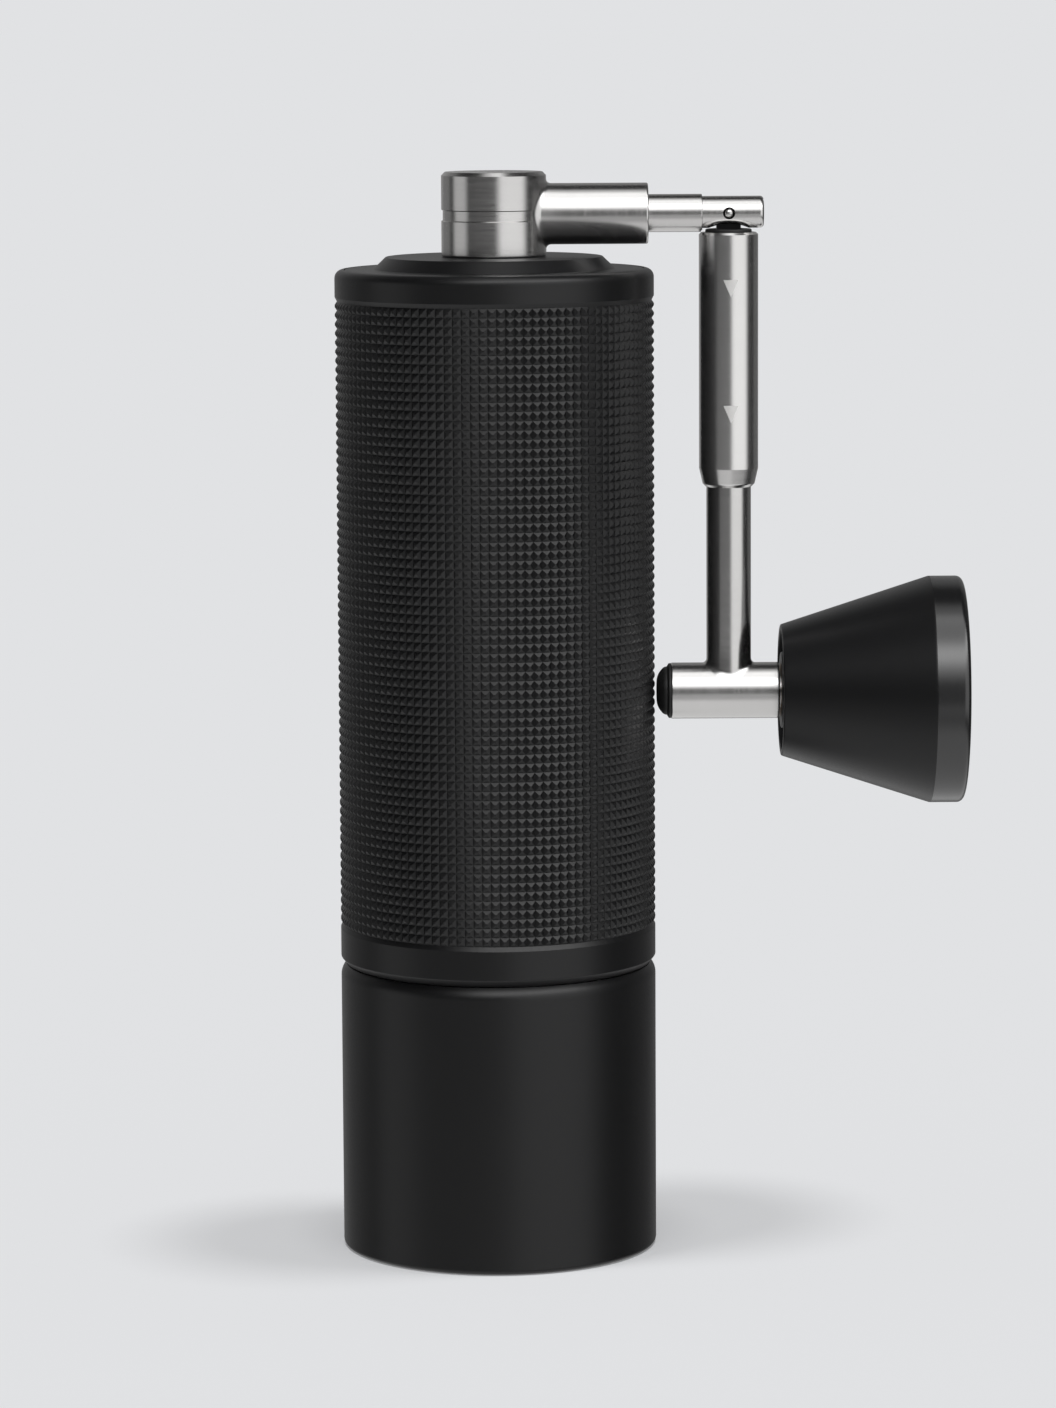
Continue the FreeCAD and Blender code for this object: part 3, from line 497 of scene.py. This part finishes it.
# Hub: turned about Z, with a hexagonal socket, corners at (across flats / 2) / cos 30.
def hubMesh():
    low, high = hub["grooveLow"], hub["grooveHigh"]
    groove = hub["radius"] - hub["grooveDepth"]
    body = turnedMesh("hub", [
        (0, hub["stemFoot"]), (hub["stem"], hub["stemFoot"], hub["stemRounding"]), (hub["stem"], hub["foot"]),
        (hub["radius"], hub["foot"], hub["footRounding"]), (hub["radius"], low),
        (groove, low + hub["grooveSlope"]), (groove, high - hub["grooveSlope"]), (hub["radius"], high),
        (hub["radius"], hub["top"] - hub["bevel"]), (hub["radius"] - hub["bevel"], hub["top"]),
        (0, hub["top"])], steps=180)
    corner = hub["socket"] / math.cos(math.pi / 6)
    turn = np.arange(6) * math.pi / 3
    outline = np.stack([corner * np.cos(turn), corner * np.sin(turn)], axis=1)
    socket = barMesh(outline, hub["socketFoot"], hub["socketTop"], "z")
    return cutAway(body, [makeMesh("socket", [socket])])


# Arm: branch out of the hub along X, its end rounded by a quarter arc of radius rim.
def armMesh(steps=144, rimRows=6):
    rows = [(arm["radius"], place) for place in (*arm["rowsAt"], arm["end"] - arm["rim"] - arm["hold"])]
    edge = np.linspace(0, math.pi / 2, rimRows)
    rows += np.stack([arm["radius"] - arm["rim"] * (1 - np.cos(edge)),
                      arm["end"] - arm["rim"] * (1 - np.sin(edge))], axis=1).tolist()
    rows += [(arm["radius"] - arm["rim"] - arm["hold"], arm["end"]), (0.0, arm["end"])]
    upright, sideways, outwards = branchGrid(arm["radius"], hub["radius"], arm["fillet"], rows, steps)
    grid = np.stack([outwards, sideways, upright + crankAxisZ], axis=-1)
    return makeMesh("arm", [(grid, gridFaces(*grid.shape[:2]))])


# Stub: turned about X, less the slot for the tongue, an arch over the sleeve and the pin's hole. The arch
# is a cylinder across the stub, radius (half^2 + height^2) / (2 height). Cutters reach past the stub.
def stubMesh():
    body = turnedMesh("stub", [
        (0, stub["start"]), (stub["radius"], stub["start"]),
        (stub["radius"], stub["step"], stub["stepRounding"]), (stub["tip"], stub["step"]),
        (stub["tip"], stub["end"], stub["endRounding"]), (0, stub["end"])], "x", (0, 0, crankAxisZ))
    past = stub["cutAcross"]
    low, high = crankAxisZ - stub["cutBelow"], crankAxisZ + stub["slotTop"]
    outline = [(-stub["slot"], low), (stub["slot"], low), (stub["slot"], high), (-stub["slot"], high)]
    slotBox = barMesh(outline, stub["slotStart"], stub["end"] + stub["cutBeyond"], "x")
    archRadius = (stub["archHalf"] ** 2 + stub["archHeight"] ** 2) / (2 * stub["archHeight"])
    archZ = crankAxisZ - stub["tip"] + stub["archHeight"] - archRadius
    archCorners = [(0, -past), (archRadius, -past), (archRadius, past), (0, past)]
    arch = turnedMesh("arch", archCorners, "y", (rodX, 0, archZ), steps=200)
    holeCorners = [(0, -past), (stub["pinHole"], -past), (stub["pinHole"], past), (0, past)]
    hole = turnedMesh("hole", holeCorners, "y", (rodX, 0, crankAxisZ), steps=48)
    return cutAway(body, [makeMesh("slotBox", [slotBox]), arch, hole])


placePiece("crankHub", hubMesh(), "crank", ["crank_hub"], finishes["steelUpright"])
placePiece("crankArm", armMesh(), "crank", [], finishes["steelAcross"])
placePiece("crankStub", stubMesh(), "crank", ["crank_stub"], finishes["steelAcross"])
pin = {"radius": 0.78, "edge": 2.3, "crown": 0.45, "crownAt": 2.58, "end": 2.62}
pinCorners = [(0, -pin["end"]), (pin["crown"], -pin["crownAt"]), (pin["radius"], -pin["edge"]),
              (pin["radius"], pin["edge"]), (pin["crown"], pin["crownAt"]), (0, pin["end"])]
pinMesh = turnedMesh("hingePin", pinCorners, "y", (rodX, 0, crankAxisZ), steps=48, sharpAngle=60)
placePiece("hingePin", pinMesh, "crank", ["hinge_pin"], finishes["steelUpright"])
print("crank made")

# Folding handle: rod with its tongue, cross tube, bumper, and the sleeve that slides on the rod.
rod = {"radius": 3.725, "fillet": 0.8, "rowsAt": (8.0, 26.0), "core": 2.4, "coreLow": 147.6,
       "coreHigh": 160.6, "neck": 3.135, "neckTop": 167.1, "bevel": 0.3, "bevelHeight": 0.4,
       "tongueHalf": 2.0, "tongueThick": 1.2, "tongueSunk": 0.5, "paintedShadeFrom": 166.7}
crossTube = {"radius": 4.7, "start": 29.2, "end": 47.3, "startRounding": 0.2, "endRounding": 0.3}
bumper = {"nose": 26.8, "noseRadius": 2.6, "noseRounding": 3.0, "side": 28.0, "sideRadius": 4.0,
          "sideRounding": 1.0, "neck": 28.5, "neckRadius": 4.05, "lip": 28.84, "lipRadius": 4.6, "end": 29.18}
sleeve = {"radius": 4.925, "top": 170.4, "bevel": 0.35, "foot": 128.15, "taperTop": 131.25,
          "taperRadius": 4.345, "taperRounding": 0.6, "footEdge": 0.5, "bore": 3.805, "guide": 3.215,
          "guideFoot": 159.0}
# Black ring in the sleeve's mouth, under the stub's arch: painted shade, a dark piece that stands for the
# shadow in the gap there.
mouthShadeRing = {"inner": 3.3, "outer": 3.85, "foot": 169.9, "top": 170.95, "rounding": 0.25}


# Rod: branch out of the cross tube, up to the neck, and a tongue with a round eye of radius tongueHalf.
def rodMesh(steps=128, eyeRows=25):
    radius, core, neck, bevel = rod["radius"], rod["core"], rod["neck"], rod["bevel"]
    coreLow, coreHigh, neckTop = (rod[key] - knobZ for key in ("coreLow", "coreHigh", "neckTop"))
    stages = [(radius, place) for place in (*rod["rowsAt"], coreLow - rod["bevelHeight"])]
    stages += [(radius - bevel, coreLow), (core, coreLow), (core, coreHigh), (neck, coreHigh),
               (neck, neckTop - bevel), (neck - bevel, neckTop), (0.0, neckTop)]
    beside, sideways, outwards = branchGrid(radius, crossTube["radius"], rod["fillet"], stages, steps)
    grid = np.stack([beside + rodX, sideways, outwards + knobZ], axis=-1)
    turn = np.linspace(0, math.pi, eyeRows)
    half = rod["tongueHalf"]
    eye = np.stack([rodX + half * np.cos(turn), crankAxisZ + half * np.sin(turn)], axis=1)
    footZ = rod["neckTop"] - rod["tongueSunk"]
    outline = np.vstack([eye, [[rodX - half, footZ], [rodX + half, footZ]]])
    tongue = barMesh(outline, -rod["tongueThick"], rod["tongueThick"], "y")
    return makeMesh("rod", [(grid, gridFaces(*grid.shape[:2])), tongue])


# Second finish on the faces whose middle is past start on an axis.
def finishBeyond(piece, axis, start, material):
    piece.data.materials.append(material)
    middles = np.zeros(len(piece.data.polygons) * 3)
    piece.data.polygons.foreach_get("center", middles)
    beyond = middles.reshape(-1, 3)[:, axis] > start * mm
    piece.data.polygons.foreach_set("material_index", beyond.astype(np.int32))


rodPiece = placePiece("handleRod", rodMesh(), "handle", ["arm_rod"], finishes["steelUpright"])
# the tongue and the neck's top take the near-black steel: painted shade for the dark crevice under the stub
finishBeyond(rodPiece, 2, rod["paintedShadeFrom"], finishes["paintedShadeSteel"])
crossCorners = [
    (0, crossTube["start"]), (crossTube["radius"], crossTube["start"], crossTube["startRounding"]),
    (crossTube["radius"], crossTube["end"], crossTube["endRounding"]), (0, crossTube["end"])]
placePiece("crossTube", turnedMesh("crossTube", crossCorners, "x", (0, 0, knobZ)), "handle", ["cross_tube"],
           finishes["steelAcross"])
bumperCorners = [
    (0, bumper["nose"]), (bumper["noseRadius"], bumper["nose"], bumper["noseRounding"]),
    (bumper["sideRadius"], bumper["side"], bumper["sideRounding"]), (bumper["neckRadius"], bumper["neck"]),
    (bumper["lipRadius"], bumper["lip"]), (bumper["lipRadius"], bumper["end"]), (0, bumper["end"])]
placePiece("bumper", turnedMesh("bumper", bumperCorners, "x", (0, 0, knobZ)), "handle", ["bumper"],
           finishes["bumperRubber"])
sleeveCorners = [
    (sleeve["guide"], sleeve["top"]), (sleeve["radius"] - sleeve["bevel"], sleeve["top"]),
    (sleeve["radius"], sleeve["top"] - sleeve["bevel"]),
    (sleeve["radius"], sleeve["taperTop"], sleeve["taperRounding"]),
    (sleeve["taperRadius"], sleeve["foot"] + sleeve["footEdge"], sleeve["footEdge"]),
    (sleeve["taperRadius"] - sleeve["footEdge"], sleeve["foot"]), (sleeve["bore"], sleeve["foot"]),
    (sleeve["bore"], sleeve["guideFoot"]), (sleeve["guide"], sleeve["guideFoot"])]
placePiece("lockSleeve", turnedMesh("lockSleeve", sleeveCorners, "z", (rodX, 0, 0), ring=True), "sleeve",
           ["lock_sleeve"], finishes["steelSatin"])
mouthShadeCorners = [
    (mouthShadeRing["inner"], mouthShadeRing["foot"]), (mouthShadeRing["outer"], mouthShadeRing["foot"]),
    (mouthShadeRing["outer"], mouthShadeRing["top"], mouthShadeRing["rounding"]),
    (mouthShadeRing["inner"], mouthShadeRing["top"], mouthShadeRing["rounding"])]
placePiece("sleeveMouthShadeRing", turnedMesh("sleeveMouthShadeRing", mouthShadeCorners, "z", (rodX, 0, 0), ring=True), "sleeve", [],
           finishes["bumperRubber"])
print("handle made")

# The sleeve's return spring, and the burr's, whose foot stands 0.6 above the floor of the burr's pocket, so
# that the burr can rise under it.
sleeveSpring = {"axisX": rodX, "radius": 2.95, "wire": 0.38, "low": 147.65, "high": 158.95, "turns": 4}
burrSpring = {"axisX": 0.0, "radius": 5.6, "wire": 0.48, "low": 51.5, "high": 61.8, "turns": 5}


# Coil: centre line (R cos 2 pi n s, R sin 2 pi n s, low + s height), with a round wire across it that
# closes to a point at both ends.
def springMesh(name, spring, turnSteps=40, wireSteps=12):
    share = np.linspace(0, 1, spring["turns"] * turnSteps + 1)[:, None]
    around = np.linspace(0, 2 * math.pi, wireSteps, endpoint=False)[None, :]
    turn = 2 * math.pi * spring["turns"] * share
    swell = np.where((share == 0) | (share == 1), 0.0, 1.0)
    outwards = spring["radius"] + spring["wire"] * swell * np.cos(around)
    height = spring["low"] + spring["wire"] + share * (spring["high"] - spring["low"] - 2 * spring["wire"])
    height = height + spring["wire"] * swell * np.sin(around)
    grid = np.stack([outwards * np.cos(turn) + spring["axisX"], outwards * np.sin(turn), height], axis=-1)
    return makeMesh(name, [(grid, gridFaces(*grid.shape[:2]))], sharpAngle=60)


coil = placePiece("sleeveSpring", springMesh("sleeveSpring", sleeveSpring), "handle", ["sleeve_spring"],
                  finishes["springSteel"])
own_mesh(coil)
placePiece("burrSpring", springMesh("burrSpring", burrSpring), "shaft", ["burr_spring"],
           finishes["springSteel"])
print("springs made")

knob = {"start": 47.6, "small": 11.0, "coneEnd": 72.4, "large": 19.0, "end": 78.05, "boss": 6.4,
        "recess": 10.1, "recessFloor": 49.8, "bushBore": 4.52, "cap": 12.0, "capDepth": 1.5, "capGap": 0.02,
        "screwWell": 8.0, "wellFloor": 70.45, "edge": 0.3, "recessEdge": 0.2, "coneRounding": 1.5,
        "rimRounding": 1.1, "rimFrom": 72.5}
seatRadius = knob["cap"] + knob["capGap"]
seatX = knob["end"] - knob["capDepth"] - knob["capGap"]
knobCorners = [
    (knob["bushBore"], knob["start"]), (knob["boss"], knob["start"], knob["edge"]),
    (knob["boss"], knob["recessFloor"], knob["edge"]), (knob["recess"], knob["recessFloor"], knob["edge"]),
    (knob["recess"], knob["start"], knob["recessEdge"]), (knob["small"], knob["start"], knob["edge"]),
    (knob["large"], knob["coneEnd"], knob["coneRounding"]), (knob["large"], knob["end"], knob["rimRounding"]),
    (seatRadius, knob["end"]), (seatRadius, seatX), (knob["screwWell"], seatX),
    (knob["screwWell"], knob["wellFloor"]), (knob["bushBore"], knob["wellFloor"])]
knobMesh = turnedMesh("knobBody", knobCorners, "x", (0, 0, knobZ), ring=True, steps=200)
knobPiece = placePiece("knobBody", knobMesh, "knob", ["knob_body"], finishes["knobAnodised"])
finishBeyond(knobPiece, 0, knob["rimFrom"], finishes["knobRim"])
capCorners = [(0, knob["end"] - knob["capDepth"]), (knob["cap"], knob["end"] - knob["capDepth"]),
              (knob["cap"], knob["end"], knob["edge"]), (0, knob["end"])]
placePiece("knobCap", turnedMesh("knobCap", capCorners, "x", (0, 0, knobZ), steps=160), "knob", ["knob_cap"],
           finishes["knobAnodised"])
print("knob made")

# inner parts carried over from the frame take the finish of their slot
for name, piece in frame["nodes"].items():
    for spot in piece.material_slots:
        given = spot.material.name if spot.material else ""
        found = [finish for slotName, finish in slotFinishes.items() if slotName in given]
        if not found:
            print("no finish for", name)
        spot.material = finishes[found[0] if found else "steelUpright"]
# the floor shows only the upright body's shade
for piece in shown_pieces():
    piece.visible_shadow = body_of(piece)[0] not in ("crank", "handle", "sleeve", "knob")
print("inner parts finished")

# Reflections see a pattern of soft boxes, placed by direction: azimuth from the front (-Y) towards +X, then
# height. Each row: azimuth from, to, height from, to, value, softness of the sides, softness of top and
# bottom, all angles in degrees.
softBoxes = [
    (-190, 190, -95, 95, 0.04, 1, 1),       # dark studio
    (-24, 78, 19, 84, 1.6, 9, 9),           # big box over the front right
    (-24, 78, 32, 52, 2.6, 9, 9),           # its bright middle
    (10, 73, -20, 19, 1.1, 9, 9),           # its lower part
    (-190, 190, 78, 95, 0.8, 1, 6),         # ceiling
    (-98, -62, -26, 10, 0.62, 6, 8),        # narrow strip on the left
    (-50, 4, -14, 14, 0.05, 8, 8),          # dim front
    (-60, 12, -31, -9, 0.42, 8, 5),         # floor far in front
    (-190, 190, -95, -31, 0.85, 1, 8),      # lit floor
    (112, 190, -25, 45, 0.1, 6, 8),         # wall behind, right half
    (-190, -112, -25, 45, 0.2, 6, 8),       # wall behind, left half
    (150, 190, -25, 45, 0.12, 8, 8),        # its middle
    (-190, -150, -25, 45, 0.12, 8, 8),      # the same, past the turn at 180
]
background = "#e1e2e4"


# Window: smooth step up at low, times smooth step down at high.
def windowOf(tree, value, low, high, soft):
    rise = addNode(tree, "ShaderNodeMapRange",
                   {"interpolation_type": "SMOOTHSTEP", "From Min": low - soft, "From Max": low + soft},
                   {"Value": value}).outputs[0]
    fall = addNode(tree, "ShaderNodeMapRange",
                   {"interpolation_type": "SMOOTHSTEP", "From Min": high - soft, "From Max": high + soft,
                    "To Min": 1.0, "To Max": 0.0}, {"Value": value}).outputs[0]
    return addNode(tree, "ShaderNodeMath", {"operation": "MULTIPLY"}, {0: rise, 1: fall}).outputs[0]


# World: azimuth = atan2(x, -y) and height = asin(z) of the ray, in degrees. A soft box adds its value times
# its two windows. Mirrored rays see the boxes, camera rays the plain background, all others an even dome.
def buildWorld():
    world = bpy.data.worlds.new("studio")
    bpy.context.scene.world = world
    world.use_nodes = True
    world.cycles.sampling_method = "NONE"
    tree = world.node_tree
    tree.nodes.clear()
    way = addNode(tree, "ShaderNodeSeparateXYZ", None,
                  {0: addNode(tree, "ShaderNodeTexCoord").outputs["Generated"]}).outputs
    front = addNode(tree, "ShaderNodeMath", {"operation": "MULTIPLY", 1: -1.0}, {0: way[1]}).outputs[0]
    azimuth = addNode(tree, "ShaderNodeMath", {"operation": "ARCTAN2"}, {0: way[0], 1: front}).outputs[0]
    azimuth = addNode(tree, "ShaderNodeMath", {"operation": "DEGREES"}, {0: azimuth}).outputs[0]
    height = addNode(tree, "ShaderNodeMath", {"operation": "ARCSINE"}, {0: way[2]}).outputs[0]
    height = addNode(tree, "ShaderNodeMath", {"operation": "DEGREES"}, {0: height}).outputs[0]
    total = None
    for left, right, low, high, value, softSide, softTop in softBoxes:
        across = windowOf(tree, azimuth, left, right, softSide)
        upright = windowOf(tree, height, low, high, softTop)
        both = addNode(tree, "ShaderNodeMath", {"operation": "MULTIPLY"}, {0: across, 1: upright}).outputs[0]
        lit = addNode(tree, "ShaderNodeMath", {"operation": "MULTIPLY", 1: value}, {0: both}).outputs[0]
        if total is not None:
            lit = addNode(tree, "ShaderNodeMath", {"operation": "ADD"}, {0: total, 1: lit}).outputs[0]
        total = lit
    rays = addNode(tree, "ShaderNodeLightPath").outputs
    seen = addNode(tree, "ShaderNodeBackground", {"Color": linearColour(background)})
    mirrored = addNode(tree, "ShaderNodeBackground", {"Color": (1, 1, 1, 1)}, {"Strength": total})
    even = addNode(tree, "ShaderNodeBackground", {"Color": (1, 1, 1, 1), "Strength": floorLook["dome"]})
    glossy = addNode(tree, "ShaderNodeMixShader", None, {0: rays["Is Glossy Ray"], 1: even.outputs[0],
                                                         2: mirrored.outputs[0]})
    final = addNode(tree, "ShaderNodeMixShader", None, {0: rays["Is Camera Ray"], 1: glossy.outputs[0],
                                                        2: seen.outputs[0]})
    addNode(tree, "ShaderNodeOutputWorld", None, {"Surface": final.outputs[0]})


# Floor brightness = albedo * (dome + suns / pi) + glow, which matches the background where nothing shades it.
floorLook = {"half": 60.0, "gap": 0.00002, "albedo": 0.70, "dome": 0.12, "glow": 0.19, "spread": 8.0,
             "tilts": ((-11.0, 5.5), (0.0, 3.0), (11.0, 0.5))}


# Floor: a square in metres just below the cup, diffuse paper plus a glow.
def buildFloor():
    half, low = floorLook["half"], -floorLook["gap"]
    mesh = bpy.data.meshes.new("floor")
    corners = [(-half, -half, low), (half, -half, low), (half, half, low), (-half, half, low)]
    mesh.from_pydata(corners, [], [(0, 1, 2, 3)])
    floor = bpy.data.objects.new("floor", mesh)
    bpy.context.scene.collection.objects.link(floor)
    material = bpy.data.materials.new("pale_paper_sweep")
    material.use_nodes = True
    tree = material.node_tree
    tree.nodes.clear()
    tone = np.array(linearColour(background)[:3]) / linearColour(background)[1]
    paper = addNode(tree, "ShaderNodeBsdfDiffuse", {"Color": (*(tone * floorLook["albedo"]).tolist(), 1)})
    glow = addNode(tree, "ShaderNodeEmission", {"Color": (*tone.tolist(), 1), "Strength": floorLook["glow"]})
    both = addNode(tree, "ShaderNodeAddShader", None, {0: paper.outputs[0], 1: glow.outputs[0]})
    clear = addNode(tree, "ShaderNodeBsdfTransparent")
    rays = addNode(tree, "ShaderNodeLightPath").outputs
    # reflections look through the floor, to the boxes below the horizon
    final = addNode(tree, "ShaderNodeMixShader", None, {0: rays["Is Glossy Ray"], 1: both.outputs[0],
                                                        2: clear.outputs[0]})
    addNode(tree, "ShaderNodeOutputMaterial", None, {"Surface": final.outputs[0]})
    mesh.materials.append(material)


# Overhead strip: suns side by side, tilted left and right, that leave a soft band of shade on both sides.
# Strength of each = wanted * pi / albedo / sum of (cos side * cos front), wanted being what the background's
# brightness leaves after the glow and the dome.
def buildSuns():
    wanted = linearColour(background)[1] - floorLook["glow"] - floorLook["albedo"] * floorLook["dome"]
    tilts = np.radians(floorLook["tilts"])
    strength = wanted * math.pi / floorLook["albedo"] / float(np.cos(tilts).prod(axis=1).sum())
    for number, (side, front) in enumerate(floorLook["tilts"]):
        light = bpy.data.lights.new("strip%d" % number, "SUN")
        light.energy = strength
        light.angle = math.radians(floorLook["spread"])
        lamp = bpy.data.objects.new(light.name, light)
        lamp.matrix_world = (Matrix.Rotation(math.radians(side), 4, "Y")
                             @ Matrix.Rotation(math.radians(front), 4, "X"))
        lamp.visible_glossy = False
        bpy.context.scene.collection.objects.link(lamp)


# metres and radians
cameraLook = {"place": (0.00091, -0.86275, 0.20677), "lens": 132.66, "sensor": 36.0, "tilt": 0.13262,
              "yaw": 0.0050, "roll": -0.00565, "far": 200.0}


# Camera: turn = Rz(-yaw) Rx(pi/2 - tilt) Rz(roll), so it faces +Y, tilted down and a little to the right.
def buildCamera():
    data = bpy.data.cameras.new("camera")
    data.lens = cameraLook["lens"]
    data.sensor_width = cameraLook["sensor"]
    data.clip_end = cameraLook["far"]
    camera = bpy.data.objects.new("camera", data)
    turn = (Matrix.Rotation(-cameraLook["yaw"], 4, "Z")
            @ Matrix.Rotation(math.pi / 2 - cameraLook["tilt"], 4, "X")
            @ Matrix.Rotation(cameraLook["roll"], 4, "Z"))
    camera.matrix_world = Matrix.Translation(cameraLook["place"]) @ turn
    bpy.context.scene.collection.objects.link(camera)
    bpy.context.scene.camera = camera


buildWorld()
buildFloor()
buildSuns()
buildCamera()
bpy.context.scene.view_settings.view_transform = "Standard"
print("studio made")
